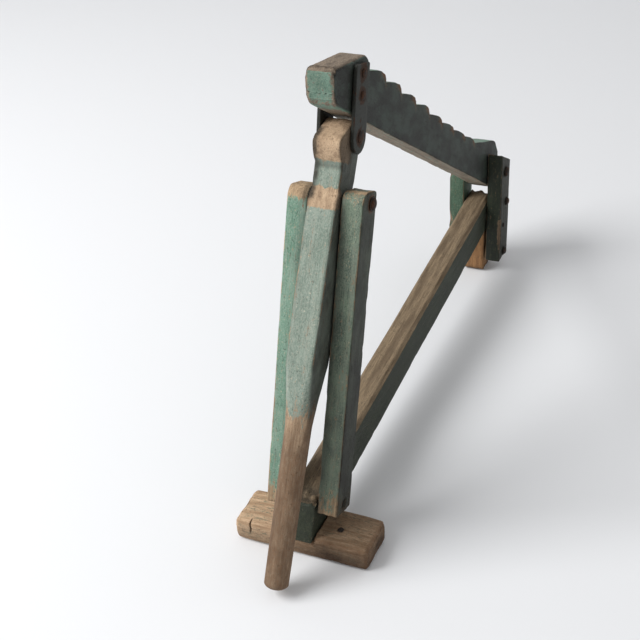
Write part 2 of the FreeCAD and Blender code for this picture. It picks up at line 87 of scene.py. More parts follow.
def patches(points, cell, seed):
    """Heights from 0 to 1 hashed from the corners of a lattice of cells, blended between them."""
    q = points / np.asarray(cell, float)
    low = np.floor(q).astype(np.int64)
    t = q - low
    t = t * t * (3.0 - 2.0 * t)
    total = np.zeros(points.shape[:-1])
    for corner in product((0, 1), repeat=3):
        at = low + np.array(corner)
        h = (at[..., 0] * 73856093) ^ (at[..., 1] * 19349663)
        h = h ^ (at[..., 2] * 83492791) ^ (seed * 40503)
        h = (h ^ (h >> 13)) * 1274126177
        h = ((h ^ (h >> 16)) & 0xFFFFFF) / float(0xFFFFFF)
        weight = np.prod(np.where(np.array(corner) == 1, t, 1.0 - t), axis=-1)
        total += weight * h
    return total


def stations(low, high, step, end_round, dense=()):
    """Places along a piece: even steps, closer at both rounded ends and round each dense place."""
    parts = [np.arange(low, high, step), np.array([high])]
    curve = end_round * (1.0 - np.cos(np.linspace(0, math.pi / 2, 6)))
    parts += [low + curve, high - curve]
    for centre, reach, fine in dense:
        parts.append(np.arange(centre - reach, centre + reach, fine))
    t = np.unique(np.round(np.concatenate(parts), 2))
    return t[(t >= low) & (t <= high)]


def section(half, low, high, radius, across, deep, arc_points):
    """Rings of a rounded rectangle, one per station: each corner is an arc of the given radius, and
    the straight runs between the arcs are cut into `across` and `deep` equal lengths."""
    kx, ky, angle = [], [], []
    signs = ((1, 1), (-1, 1), (-1, -1), (1, -1))
    for i, (sx, sy) in enumerate(signs):
        arc = np.linspace(i * 90.0, (i + 1) * 90.0, arc_points)
        kx += [sx] * arc_points
        ky += [sy] * arc_points
        angle += list(arc)
        nx, ny = signs[(i + 1) % 4]
        run = across if i % 2 == 0 else deep
        s = np.linspace(0, 1, run + 1)[1:-1]
        kx += list(sx + (nx - sx) * s)
        ky += list(sy + (ny - sy) * s)
        angle += [(i + 1) * 90.0] * len(s)
    kx, ky, angle = np.array(kx), np.array(ky), np.radians(angle)
    half, low, high, radius = (np.asarray(v, float)[:, None] for v in (half, low, high, radius))
    deep_half = (high - low) / 2
    radius = np.minimum(radius, 0.98 * np.minimum(half, deep_half))
    x = kx * (half - radius) + radius * np.cos(angle)
    y = (high + low) / 2 + ky * (deep_half - radius) + radius * np.sin(angle)
    return x, y


def carried(t, half, low, high, radius, end_round, across, deep, shear=None, arc_points=6):
    """The section carried along t, drawn in at both ends as a quarter circle, and closed by rings
    that shrink to a point. Gives the points and their distance from the nearest edge, in mm."""
    t, half, low, high, radius = np.broadcast_arrays(t, half, low, high, radius)
    gap = np.minimum(t - t[0], t[-1] - t)
    inset = np.where(gap < end_round,
                     end_round - np.sqrt(np.maximum(end_round ** 2 - (end_round - gap) ** 2, 0)), 0.0)
    x, y = section(half - inset, low + inset, high - inset, radius, across, deep, arc_points)
    z = np.repeat(t[:, None].astype(float), x.shape[1], axis=1)
    if shear is not None:
        z = z + shear(z, y)
    rings = np.stack([x, y, z], axis=-1)
    near_end = np.minimum(t - t[0], t[-1] - t)[:, None]
    from_side = half[:, None] - np.abs(x)
    from_face = np.minimum(y - low[:, None], high[:, None] - y)
    edge = np.sort(np.stack([from_side, from_face, np.broadcast_to(near_end, x.shape)]), axis=0)[1]
    shrink = np.array([0.93, 0.82, 0.66, 0.46, 0.24, 0.0])
    caps = []
    for ring, row in ((rings[0], slice(None, None, -1)), (rings[-1], slice(None))):
        middle = ring.mean(axis=0)
        scale = shrink[row][:, None, None]
        caps.append(middle + scale * (ring - middle))
    reach = np.minimum(half, (high - low) / 2)
    first = (1 - shrink[::-1])[:, None] * reach[0] + np.zeros(x.shape[1])
    last = (1 - shrink)[:, None] * reach[-1] + np.zeros(x.shape[1])
    points = np.concatenate([caps[0], rings, caps[1]])
    return points, np.concatenate([first, np.maximum(edge, 0), last])


def outward(points):
    """Unit normals of a closed tube of rings, from the cross product of its two directions."""
    along = np.gradient(points, axis=0)
    around = np.roll(points, -1, axis=1) - np.roll(points, 1, axis=1)
    normal = np.cross(around, along)
    length = np.linalg.norm(normal, axis=-1, keepdims=True)
    normal = normal / np.maximum(length, 1e-9)
    middle = points.mean(axis=1, keepdims=True)
    sign = np.sign(np.sum(normal * (points - middle)))
    return normal * sign


def weathered(points, edge, seed, grain=0.35, sag=0.7, nick=2.0):
    """Wood worn inwards, in mm: furrows along the grain, slow hollows, and nicks that die out as
    exp(-edge / 2.6). Everything moves in, so nothing grows."""
    depth = grain * patches(points, (2.4, 2.4, 55.0), seed)
    depth += grain * 0.8 * patches(points, (5.0, 5.0, 120.0), seed + 1)
    depth += sag * patches(points, (26.0, 26.0, 90.0), seed + 2)
    chips = eased(0.52, 0.86, patches(points, (6.0, 6.0, 16.0), seed + 3))
    rub = 0.25 + 0.75 * patches(points, (20.0, 20.0, 45.0), seed + 4)
    depth += nick * np.exp(-edge / 2.6) * (0.75 * chips + 0.35 * rub)
    return points - outward(points) * depth[..., None]


def solid(name, points, place, data, material, body, nodes):
    """A mesh of quads between the rings with both ends pinched shut, its per-vertex data, and its
    place in the frame, its body and the CAD nodes it stands for."""
    rows, count = points.shape[:2]
    grid = np.arange(rows * count).reshape(rows, count)
    a, b = grid[:-1], grid[1:]
    quads = np.stack([a, np.roll(a, -1, 1), np.roll(b, -1, 1), b], axis=-1).reshape(-1, 4)
    mesh = bpy.data.meshes.new(name)
    mesh.from_pydata((place(points.reshape(-1, 3)) * MM).tolist(), [], quads.tolist())
    for key, values in data.items():
        layer = mesh.attributes.new(key, "FLOAT", "POINT")
        layer.data.foreach_set("value", np.ascontiguousarray(values, np.float32).ravel())
    shape = bmesh.new()
    shape.from_mesh(mesh)
    bmesh.ops.remove_doubles(shape, verts=shape.verts, dist=1e-6)
    bmesh.ops.recalc_face_normals(shape, faces=shape.faces)
    if shape.calc_volume(signed=True) < 0:
        bmesh.ops.reverse_faces(shape, faces=shape.faces)
    for face in shape.faces:
        face.smooth = True
    shape.to_mesh(mesh)
    shape.free()
    mesh.materials.append(material)
    obj = bpy.data.objects.new(name, mesh)
    bpy.context.scene.collection.objects.link(obj)
    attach(obj, body)
    if nodes:
        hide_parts(*nodes)
    return obj


def leaning(origin, lean):
    """Takes a piece's own axes (x across, y back, z along) to the frame, tipped back by lean
    degrees."""
    s, c = math.sin(math.radians(lean)), math.cos(math.radians(lean))

    def place(p):
        return np.stack([origin[0] + p[:, 0], origin[1] + p[:, 1] * c + p[:, 2] * s,
                         origin[2] - p[:, 1] * s + p[:, 2] * c], axis=-1)
    return place


def sideways(origin):
    """Takes a piece's own axes to the frame with its length along X, its width along Y."""
    def place(p):
        return np.stack([origin[0] + p[:, 2], origin[1] + p[:, 0], origin[2] + p[:, 1]], axis=-1)
    return place


def linear(code):
    """An sRGB hex colour as the linear values that shaders take."""
    srgb = np.array([int(code[i:i + 2], 16) / 255 for i in (1, 3, 5)])
    value = np.where(srgb <= 0.04045, srgb / 12.92, ((srgb + 0.055) / 1.055) ** 2.4)
    return (*value.tolist(), 1.0)


def add(tree, kind, sockets=None, **settings):
    """Adds one node, sets its properties, and fills each socket with a value or a link."""
    node = tree.nodes.new(kind)
    for key, value in settings.items():
        setattr(node, key, value)
    for key, value in (sockets or {}).items():
        if isinstance(value, bpy.types.NodeSocket):
            tree.links.new(value, node.inputs[key])
        else:
            node.inputs[key].default_value = value
    return node


def old_wood(name, turn, woods, paints, loss, seed, edge_mm=3.2, dirt_and_shade="#2a2622", bump=0.5):
    """Old planed wood with what is left of a coat of green oil paint.

    The grain is noise drawn out along the piece: pores 1.1 mm wide and 24 mm long, and a figure
    7 mm by 90 mm. Paint is gone within edge_mm of an edge, where bare is high, and in chips 4 to
    9 mm across, the more so the higher the loss. Grime and painted shade darken, and rust marks the
    wood at iron."""
    material = bpy.data.materials.new(name)
    material.use_nodes = True
    tree = material.node_tree
    tree.nodes.clear()
    spot = add(tree, "ShaderNodeTexCoord").outputs["Object"]
    own = add(tree, "ShaderNodeMapping", {
        "Vector": spot, "Rotation": turn,
        "Location": (seed * 0.37, seed * 0.21, seed * 0.13)}).outputs[0]

    def grain(width, length, detail, rough=0.6):
        """Noise with features of that width and length in mm."""
        scale = (1 / (width * MM), 1 / (width * MM), 1 / (length * MM))
        drawn = add(tree, "ShaderNodeMapping", {"Vector": own, "Scale": scale}).outputs[0]
        return add(tree, "ShaderNodeTexNoise", {"Vector": drawn, "Scale": 1.0, "Detail": detail,
                                                "Roughness": rough}).outputs["Fac"]

    def span(value, low, high, start=0.0, end=1.0):
        """A value between low and high carried to the range from start to end."""
        return add(tree, "ShaderNodeMapRange", {"Value": value, "From Min": low, "From Max": high,
                                                "To Min": start, "To Max": end}).outputs[0]

    def sum_of(a, b, operation="ADD"):
        return add(tree, "ShaderNodeMath", {0: a, 1: b}, operation=operation).outputs[0]

    def blend(amount, a, b, way="MIX"):
        return add(tree, "ShaderNodeMix", {0: amount, 6: a, 7: b}, data_type="RGBA",
                   blend_type=way).outputs[2]

    edge = add(tree, "ShaderNodeAttribute", attribute_name="edge").outputs["Fac"]
    bare = add(tree, "ShaderNodeAttribute", attribute_name="bare").outputs["Fac"]
    grime_and_shade = add(tree, "ShaderNodeAttribute", attribute_name="grime_and_shade").outputs["Fac"]
    rust = add(tree, "ShaderNodeAttribute", attribute_name="rust").outputs["Fac"]

    pores = grain(1.1, 24.0, 3.0)
    figure = grain(7.0, 90.0, 4.0)
    clouds = grain(26.0, 42.0, 3.0)
    specks = grain(2.2, 4.0, 2.0, 0.5)
    flecks = grain(3.6, 9.0, 5.0, 0.72)
    mottle = grain(1.6, 2.6, 3.0, 0.7)

    # Bare wood: light and dark along the grain, with dirt in the pores.
    wood = blend(span(pores, 0.36, 0.66), linear(woods[0]), linear(woods[1]))
    wood = blend(span(figure, 0.44, 0.64, 0.0, 0.75), wood, linear(woods[2]))
    wood = blend(span(mottle, 0.5, 0.66, 0.0, 0.35), wood, linear(woods[2]))
    wood = blend(span(specks, 0.62, 0.7, 0.0, 0.5), wood, linear(dirt_and_shade))

    # Oil paint: faded in clouds, chalky in fine mottling, dirty in the grain, with pale chips.
    paint = blend(span(clouds, 0.36, 0.62), linear(paints[0]), linear(paints[1]))
    paint = blend(span(figure, 0.48, 0.66, 0.0, 0.6), paint, linear(paints[2]))
    paint = blend(span(mottle, 0.46, 0.62, 0.0, 0.75), paint, linear(paints[2]))
    paint = blend(span(mottle, 0.48, 0.34, 0.0, 0.22), paint, linear(dirt_and_shade))
    paint = blend(span(pores, 0.52, 0.72, 0.0, 0.4), paint, linear(dirt_and_shade))
    paint = blend(span(specks, 0.64, 0.7, 0.0, 0.5), paint, linear(dirt_and_shade))
    paint = blend(span(specks, 0.33, 0.29, 0.0, 0.4), paint, linear(paints[3]))
    paint = blend(span(flecks, 0.68, 0.74, 0.0, 0.7), paint, linear(paints[3]))

    # Where the paint is gone: edges, rubbed places, and flecks that follow the grain.
    rubbed = sum_of(span(edge, 0.0, edge_mm, 0.68, 0.0), span(clouds, 0.42, 0.6, 0.2, 1.35),
                    "MULTIPLY")
    rubbed = sum_of(rubbed, sum_of(bare, 0.9, "MULTIPLY"))
    rubbed = sum_of(rubbed, span(flecks, 0.35, 0.75, -0.20, 0.32))
    rubbed = sum_of(rubbed, span(mottle, 0.3, 0.7, -0.13, 0.13))
    rubbed = sum_of(rubbed, span(figure, 0.35, 0.7, -0.10, 0.12))
    rubbed = sum_of(rubbed, span(pores, 0.4, 0.7, -0.08, 0.10))
    gone = span(rubbed, 0.93 - loss, 1.09 - loss)
    gone = add(tree, "ShaderNodeClamp", {"Value": gone}).outputs[0]

    colour = blend(gone, paint, wood)
    # Grime, painted shade and rust over both.
    uneven = sum_of(span(clouds, 0.4, 0.62, -0.07, 0.07), span(mottle, 0.3, 0.7, -0.1, 0.1))
    grime_and_shade_level = add(tree, "ShaderNodeClamp", {"Value": sum_of(grime_and_shade, uneven)}).outputs[0]
    colour = blend(grime_and_shade_level, colour, linear(dirt_and_shade))
    stain = sum_of(rust, span(flecks, 0.35, 0.65, 0.45, 1.25), "MULTIPLY")
    stain = add(tree, "ShaderNodeClamp", {"Value": stain}).outputs[0]
    rust_brown = blend(span(mottle, 0.4, 0.6), linear("#4a2e1c"), linear("#7a5132"))
    colour = blend(stain, colour, rust_brown)

    # Relief: raised grain, the thickness of the paint film, and pits at the specks.
    height = sum_of(span(pores, 0.3, 0.7, 0.0, 0.35), span(gone, 0.0, 1.0, 0.3, 0.0))
    height = sum_of(height, span(figure, 0.3, 0.7, 0.0, 0.4))
    height = sum_of(height, span(mottle, 0.3, 0.7, 0.0, 0.35))
    height = sum_of(height, span(specks, 0.6, 0.72, 0.0, -0.35))
    relief = add(tree, "ShaderNodeBump", {"Height": height, "Strength": bump,
                                          "Distance": 0.9 * MM}).outputs[0]
    rough = span(gone, 0.0, 1.0, 0.62, 0.82)
    shader = add(tree, "ShaderNodeBsdfPrincipled", {
        "Base Color": colour, "Roughness": rough, "Normal": relief, "IOR": 1.5,
        "Specular IOR Level": 0.35})
    add(tree, "ShaderNodeOutputMaterial", {"Surface": shader.outputs[0]})
    return material


def along_lean(lean):
    """The turn that brings a piece's own length, tipped back by lean degrees, on to a pattern's
    long axis."""
    return (math.radians(lean), 0.0, 0.0)


low, high = corners("front_foot")
# The turn that brings the frame's X on to a pattern's long axis.
ALONG_X = (0.0, math.radians(-90.0), 0.0)
NOTCH_HALF, NOTCH_DEPTH = 21.9, 7.6
SPLIT_AT = -78.0
t = stations(low[0], high[0], 2.2, 6.0, dense=((-NOTCH_HALF, 1.2, 0.3), (NOTCH_HALF, 1.2, 0.3),
                                               (SPLIT_AT, 5.0, 0.6)))
inside = eased(NOTCH_HALF + 0.4, NOTCH_HALF - 0.2, np.abs(t))
ends = eased(70.0, 105.0, np.abs(t))
points, edge = carried(t, (high[1] - low[1]) / 2 - 0.8 * ends, 0.0,
                       high[2] - NOTCH_DEPTH * inside - 1.0 * ends, 7.5, 7.0, 30, 15)
x, y, z = points[..., 0], points[..., 1], points[..., 2]
points = weathered(points, edge, 11, grain=0.5, sag=1.2, nick=2.6)
split = np.exp(-(z - SPLIT_AT + 0.6 * np.sin(y * 0.4)) ** 2)
split *= eased(-24.0, -32.0, x) * eased(16.0, 24.0, y)
points[..., 0] += 4.2 * split
points[..., 2] -= 0.5 * split
worn = np.exp(-edge / 6.0)
# Darker on the front face, and on the right end as painted shade.
darker_front_and_end = (0.30 * eased(-32.0, -36.5, x) + 0.35 * eased(97.0, 103.0, z)) * (1 - worn)
# Rubbed oak: tan where boots and hands have worn it, brown towards the right with painted shade.
foot_oak = old_wood("weathered_oak", ALONG_X, ("#bd9c7c", "#d8bb9b", "#94775a"),
                    ("#93886e", "#7d7c64", "#94836a", "#c9b594"), 0.50, 3, edge_mm=4.0,
                    dirt_and_shade="#3d2c1d", bump=0.8)
solid("foot_block", points, sideways((0, 0, 0)),
      {"edge": edge, "bare": 0.72 + 0.3 * worn, "rust": 0.55 * worn * eased(-90.0, 20.0, z),
       # Painted shade: the right half darker under the uprights and beam. Also darker low down and
       # along the split.
       "grime_and_shade": np.clip(0.8 * split + 0.32 * eased(30, 4, y) + 0.50 * eased(-30, 45, z) + darker_front_and_end,
                        0, 0.92)},
      foot_oak, "base", ["front_foot"])

# ---------------------------------------------------------------------------
# Base beam. One long plank on edge, cut like a sledge runner at the toe, let into the foot
# and rising a little to the rear frame. Its top corners are planed off. The top is bare
# from boots and weather, and the sides keep their dark green.
# ---------------------------------------------------------------------------


def pivot(joint):
    """The place of a joint's axis at rest, in mm."""
    return next(np.array(j["pos_m"]) / MM for j in frame["record"]["behaviour"]["joints"]
                if j["name"] == joint)


foot_pin = pivot("uprights_lean")
low, high = corners("base_beam")
TOE_TOP, TOE_TOP_Z = -14.0, 94.6
SEAT_END, TAIL_LOW = 38.0, 90.0
TOP_RISE = (high[2] - TOE_TOP_Z) / (high[1] - TOE_TOP)
BEVEL = 5.2
t = stations(low[1], high[1], 3.2, 3.0, dense=((foot_pin[1], 8.0, 1.0),))
floor_z = low[2] + np.maximum(t - SEAT_END, 0.0) / (high[1] - SEAT_END) * (TAIL_LOW - low[2])
top_z = TOE_TOP_Z + (t - TOE_TOP) * TOP_RISE


def toe_cut(z, y):
    """Leans the toe back with height, and lets the lean die out over the first 90 mm."""
    height = -y - low[2]
    fade = 1.0 - eased(low[1], low[1] + 90.0, z)
    return (TOE_TOP - low[1]) / (TOE_TOP_Z - low[2]) * height * fade


points, edge = carried(t, high[0] - 0.05, -top_z, -floor_z, 2.4, 3.0, 14, 24, shear=toe_cut)
x, y, z = points[..., 0], points[..., 1], points[..., 2]
crest = -(TOE_TOP_Z + np.maximum(z - TOE_TOP, 0.0) * TOP_RISE)
over = np.maximum(BEVEL - (high[0] - np.abs(x)) - (y - crest), 0.0) * eased(20.0, 60.0, z)
points[..., 0] -= np.sign(x) * over / 2
points[..., 1] += over / 2
on_top = eased(4.5, 1.5, y - crest) * eased(2.0, 4.0, high[0] - np.abs(x) + 2.2)
on_bevel = np.where(over > 0.05, 1.0, 0.0)
ends = np.maximum(eased(12.0, -12.0, z), eased(high[1] - 16.0, high[1] - 4.0, z + 0.2 * x))
chew = eased(0.35, 0.7, patches(points, (7.0, 7.0, 9.0), 71)) * eased(14.0, 2.0, y - crest) * ends
points = weathered(points, edge, 23, grain=0.5, sag=0.9, nick=2.2)
points[..., 1] += 7.0 * chew
points[..., 2] += 3.0 * chew
# Dark green paint gone nearly black on the sides, grey-brown ash on the trodden top.
beam_ash = old_wood("green_paint_on_ash", along_lean(86.0), ("#786752", "#988469", "#5e4e3c"),
                    ("#2c3325", "#242a1f", "#383e2e", "#7d745c"), 0.60, 7, edge_mm=2.2,
                    dirt_and_shade="#1c1b15", bump=0.7)
solid("beam_plank", points, leaning((0, 0, 0), 90.0),
      {"edge": edge,
       "bare": np.clip(1.3 * on_top * eased(-30, 0, z) + 1.0 * on_bevel + 1.2 * chew, 0, 1.4),
       "rust": 0.5 * eased(high[1] - 20.0, high[1] - 6.0, z) * eased(16.0, 4.0, y - crest),
       "grime_and_shade": (0.5 * eased(26.0, 4.0, z) * eased(-6, 4, z) * on_top
                 + 0.7 * chew * eased(40.0, 20.0, z))},
      beam_ash, "base", ["base_beam"])

# ---------------------------------------------------------------------------
# Front uprights. A matched pair of planks that stand on an iron pin through the beam and lean
# back. Their feet and tops are cut square and the front of each top is rounded off by hand. Bright
# green paint on the fronts, painted shade on the sides, bare wood where tops and arrises have rubbed.
# ---------------------------------------------------------------------------
UPRIGHT_LEAN = 19.4
UPRIGHT_FRONT, UPRIGHT_BACK = -23.0, 26.4
UPRIGHT_LOW, UPRIGHT_TOP = -13.9, 445.6
LEVER_BOLT_BACK, LEVER_BOLT_UP = 8.1, 428.5


def corner_cut(t, top, radius):
    """How far a face draws back near the top so that its corner is an arc of that radius."""
    gone = np.clip(t - (top - radius), 0.0, radius)
    return radius - np.sqrt(np.maximum(radius ** 2 - gone ** 2, 0.0))


for side, node, seed in ((1, "upright_right", 41), (-1, "upright_left", 57)):
    low, high = corners(node)
    centre, half = (low[0] + high[0]) / 2, (high[0] - low[0]) / 2
    t = stations(UPRIGHT_LOW, UPRIGHT_TOP, 2.6, 2.6,
                 dense=((0.0, 9.0, 0.8), (UPRIGHT_TOP - 8.0, 9.0, 0.9), (UPRIGHT_TOP, 3.0, 0.3)))
    face = UPRIGHT_FRONT + corner_cut(t, UPRIGHT_TOP, 17.0)
    back = UPRIGHT_BACK - corner_cut(t, UPRIGHT_TOP, 8.0)
    points, edge = carried(t, half, face, back, 2.0, 2.6, 14, 22)
    x, y, z = points[..., 0], points[..., 1], points[..., 2]
    outer = side * x / half
    hole = np.hypot(y, z)
    pit = (eased(8.2, 6.6, hole) * eased(0.7, 0.95, outer))
    heel = eased(10.0, -14.0, z + 0.3 * y) * eased(0.0, 8.0, 8.0 - edge)
    knot = eased(16.0, 5.0, np.hypot(y - 2.0, z - 6.0)) * eased(0.5, 0.9, outer)
    points = weathered(points, edge, seed, grain=0.32, sag=0.8, nick=2.3)
    points[..., 0] -= side * 5.0 * pit
    crown = eased(UPRIGHT_TOP - 15.0, UPRIGHT_TOP - 2.0, z + 0.25 * (UPRIGHT_BACK - y) - 5.0)
    crown *= 0.55 + 0.45 * patches(points, (7.0, 7.0, 7.0), seed + 9)
    # Sun-faded green on ash: brighter on the left plank; the right plank greyer, as painted shade
    # from the lever, and black-green sides as painted shade.
    paint = (("#7a9a87", "#648b76", "#93a697", "#d8c8a8") if side < 0 else
             ("#6c7d6a", "#566559", "#858f7f", "#cdbd9e"))
    green = old_wood("green_paint_on_" + node, along_lean(UPRIGHT_LEAN),
                     ("#a98e70", "#c6ab8a", "#7d6850"), paint, 0.80, seed, edge_mm=3.0,
                     dirt_and_shade="#1f1f18")
    from_bolt = np.hypot(y - LEVER_BOLT_BACK, z - LEVER_BOLT_UP)
    stain = eased(15.0, 8.0, from_bolt) * eased(0.6, 0.9, outer)
    # Painted shade: the right-hand side of each plank darkened, away from the light.
    right_side_shade = eased(0.8, 0.97, x / half)
    crown *= 1.0 if side < 0 else 0.24
    rubbed_foot = eased(34.0, -6.0, z) * (0.35 + 0.65 * patches(points, (9.0, 9.0, 20.0), seed + 5))
    solid(node + "_plank", points, leaning((centre, foot_pin[1], foot_pin[2]), UPRIGHT_LEAN),
          {"edge": edge, "bare": np.clip(0.95 * crown + 0.55 * rubbed_foot + 0.5 * heel, 0, 1.2),
           "rust": 1.2 * stain,
           # Painted shade on the inner sides beside the lever, on the right-hand sides, and down the
           # right plank towards its foot; a dark pit round the pin and a knot.
           "grime_and_shade": np.clip(1.1 * pit + 0.45 * knot + 0.5 * eased(0.2, -0.9, outer)
                            + 0.8 * right_side_shade + 0.22 * eased(330.0, 60.0, z) * (side > 0), 0, 0.92)},
          green, "uprights", [node])

# ---------------------------------------------------------------------------
# Hand lever. One piece of ash: a plank with a shouldered neck and a forward-jutting head
# between the straps, its corners shaved away below until it becomes a round grip. The front
# keeps pale grey-green paint; the head, the shoulder and all of the grip are bare.
# ---------------------------------------------------------------------------
LEVER_LEAN = 29.07
GRIP_END, GRIP_TOP, PLANK_LOW = -541.0, -312.0, -224.0
BOLT_BEHIND_AXIS = 10.9
STRAP_PIN_BACK, STRAP_PIN_UP, CROWN_ROUND = 7.4, 84.5, 21.8
SHOULDER_LOW, SHOULDER_TOP, NECK_TOP = -6.0, 9.0, 41.0
BROW_UP, END_DOME = 74.8, 7.0
lever_bolt = pivot("handle_swing")
lean_sin, lean_cos = math.sin(math.radians(LEVER_LEAN)), math.cos(math.radians(LEVER_LEAN))
lever_root = (0.0, lever_bolt[1] - BOLT_BEHIND_AXIS * lean_cos,
              lever_bolt[2] + BOLT_BEHIND_AXIS * lean_sin)
crown_top = STRAP_PIN_UP + CROWN_ROUND
t = stations(GRIP_END, crown_top, 3.0, 7.0, dense=(
    (0.0, 16.0, 1.0), (NECK_TOP + 12.0, 16.0, 1.2), (BROW_UP + 6.0, 14.0, 0.9),
    (crown_top, 10.0, 0.5), (crown_top, 2.0, 0.1)))
front = np.interp(t, [GRIP_END, GRIP_TOP, GRIP_TOP + 30, PLANK_LOW, SHOULDER_LOW, SHOULDER_TOP,
                      NECK_TOP - 4, NECK_TOP + 4, 52.0, 60.0, 68.0, BROW_UP, BROW_UP + 5.0],
                  [-17.9, -19.0, -21.6, -29.0, -29.0, -24.2,
                   -24.0, -25.2, -32.4, -38.0, -41.4, -42.2, -39.0])
back = np.interp(t, [GRIP_END, GRIP_TOP, GRIP_TOP + 30, PLANK_LOW, crown_top],
                 [17.9, 19.0, 21.6, 29.0, 29.0])
half = np.interp(t, [GRIP_END, GRIP_TOP, GRIP_TOP + 30, PLANK_LOW, SHOULDER_TOP - 2,
                     SHOULDER_TOP + 2, crown_top], [17.9, 19.0, 20.2, 22.0, 22.0, 20.9, 20.9])
corner = np.interp(t, [GRIP_END, GRIP_TOP, GRIP_TOP + 30, PLANK_LOW, PLANK_LOW + 60, crown_top],
                   [19.0, 19.0, 17.0, 6.5, 3.0, 3.0])
rise = np.clip(t - STRAP_PIN_UP, 0.0, CROWN_ROUND)
arc = np.sqrt(np.maximum(CROWN_ROUND ** 2 - rise ** 2, 0.0))
facet = -43.6 + (t - BROW_UP) * 1.383
crown_front = STRAP_PIN_BACK - arc - 25.0 * (rise < 17.5)
front = np.where(t > BROW_UP, np.maximum(facet, crown_front), front)
bell = np.exp(-np.linspace(-2.2, 2.2, 23) ** 2 / 2)
even = np.arange(NECK_TOP + 6.0, BROW_UP + 22.0, 0.5)
brow = np.pad(np.interp(even, t, front), 11, mode="reflect", reflect_type="odd")
brow = np.convolve(brow, bell / bell.sum(), mode="valid")
at_brow = (t > even[0]) & (t < even[-1])
front = np.where(at_brow, np.maximum(front, np.interp(t, even, brow)), front)
back = np.where(t > STRAP_PIN_UP, np.minimum(back, STRAP_PIN_BACK + arc), back)
points, edge = carried(t, half, front, np.maximum(back, front + 0.2), corner, 0.05, 12, 16,
                       arc_points=15)
dome = np.clip(1.0 - (points[..., 2] - GRIP_END) / END_DOME, 0.0, 1.0)
points[..., :2] *= (1.0 - 0.34 * dome ** 2)[..., None]
x, y, z = points[..., 0], points[..., 1], points[..., 2]
ragged = 60.0 * (patches(points, (6.0, 6.0, 26.0), 95) - 0.5)
on_grip = eased(GRIP_TOP + 56.0, GRIP_TOP - 44.0, z - ragged)
edge = edge + 30.0 * eased(GRIP_TOP + 90.0, GRIP_TOP + 40.0, z)
points = weathered(points, edge, 91, grain=0.34, sag=0.9, nick=2.4)
rough_patch = patches(points, (8.0, 8.0, 12.0), 97)
band = eased(SHOULDER_LOW - 9.0, SHOULDER_LOW + 1.0, z + 5 * rough_patch)
band *= eased(19.0, 11.0, z + 5 * rough_patch) * eased(-12.0, -20.0, y)
head = eased(NECK_TOP + 3.0, NECK_TOP + 12.0, z + 6.0 * (rough_patch - 0.5))
head *= eased(10.0, -14.0, y)
# Painted shadow: a dark line across the front under the lower edge of the jutting head.
step_shadow = np.exp(-((z - NECK_TOP - 1.0) / 4.0) ** 2) * eased(-10.0, -18.0, y)
across_lever = x / np.interp(z, t, half)
# Painted shade: both sides of the lever darkened, the right side twice as much as the left.
side_shade = eased(0.75, 0.97, np.abs(across_lever)) * np.where(x > 0, 1.0, 0.5)
arris_strip = eased(-0.50, -0.68, across_lever) * eased(-14.0, -20.0, y)
arris_strip *= eased(-8.0, 2.0, z) * eased(98.0, 84.0, z)
palm = patches(points, (5.0, 5.0, 9.0), 93)
# Chalky grey-green paint on ash, tan where bare, and a grip browned by hands.
lever_ash = old_wood("green_paint_on_lever", along_lean(LEVER_LEAN),
                     ("#b2967a", "#cdb394", "#8e765e"),
                     ("#87968a", "#76877a", "#9ca396", "#dcd2ba"), 0.78, 9, edge_mm=3.4,
                     dirt_and_shade="#221f18")
solid("lever_plank", points, leaning(lever_root, LEVER_LEAN),
      {"edge": edge, "bare": np.clip(1.15 * band + 1.15 * head + 1.3 * on_grip, 0, 1.4),
       "grime_and_shade": np.clip(0.5 * step_shadow + 0.78 * side_shade * (1 - on_grip)
                        + 0.9 * arris_strip * (0.4 + palm) + on_grip * (0.48 + 0.20 * palm),
                        0, 0.92),
       "rust": 0.42 * on_grip},
      lever_ash, "lever", ["lever"])

# ---------------------------------------------------------------------------
# Stepped bar. A deep plank set on edge whose top is cut into steps that an axle sits on; the
# front ends in a heavy square cap. Green paint on the cap's face, nearly black green on the
# sides, partly as painted shade; the noses of the steps are crushed bare and stained with rust.
# ---------------------------------------------------------------------------
BAR_SLOPE = 33.18
PIN_ALONG, PIN_BELOW = 91.33, 22.72
CAP_LEAN, CAP_RISE, CAP_ROUND = -20.9, 43.0, 6.5
FIRST_STEP, STEP_PITCH = 103.1, 71.9
# Height of each step's foot above the underside, and how far its nose stands up from there.
STEPS = ((67.6, 24.5), (67.4, 18.0), (65.0, 17.5), (62.4, 17.0), (61.2, 15.5), (60.6, 10.5),
         (61.0, 7.5), (61.6, 6.6), (61.0, 9.0))
TAIL_END, TAIL_ROUND, NOSE_WEAR = 858.0, 14.0, 4.6
TAIL = ((812.0, 86.0), (TAIL_END, 67.0))
strap_pin = pivot("bar_tilt")
slope_sin, slope_cos = math.sin(math.radians(BAR_SLOPE)), math.cos(math.radians(BAR_SLOPE))
bar_root = (0.0, strap_pin[1] - PIN_ALONG * slope_cos + PIN_BELOW * slope_sin,
            strap_pin[2] + PIN_ALONG * slope_sin + PIN_BELOW * slope_cos)
feet = np.array([(FIRST_STEP + i * STEP_PITCH, step[0]) for i, step in enumerate(STEPS)])
climbs = np.array([step[1] for step in STEPS])
noses = feet + climbs[:, None] * np.array([-slope_sin, slope_cos])
zigzag = np.stack([noses, feet], axis=1).reshape(-1, 2)
path = np.concatenate([[(CAP_LEAN, CAP_RISE)], zigzag, TAIL])
fine = np.arange(CAP_LEAN, TAIL_END + 0.01, 0.5)
outline = np.interp(fine, path[:, 0], path[:, 1])
spread = np.arange(-24, 25) * 0.5


def softened(line, reach):
    """The line averaged with bell weights of that reach in mm, never above where it was."""
    weight = np.exp(-(spread / reach) ** 2 / 2)
    smooth = np.convolve(np.pad(line, 24, mode="edge"), weight / weight.sum(), mode="valid")
    return np.minimum(smooth, line)


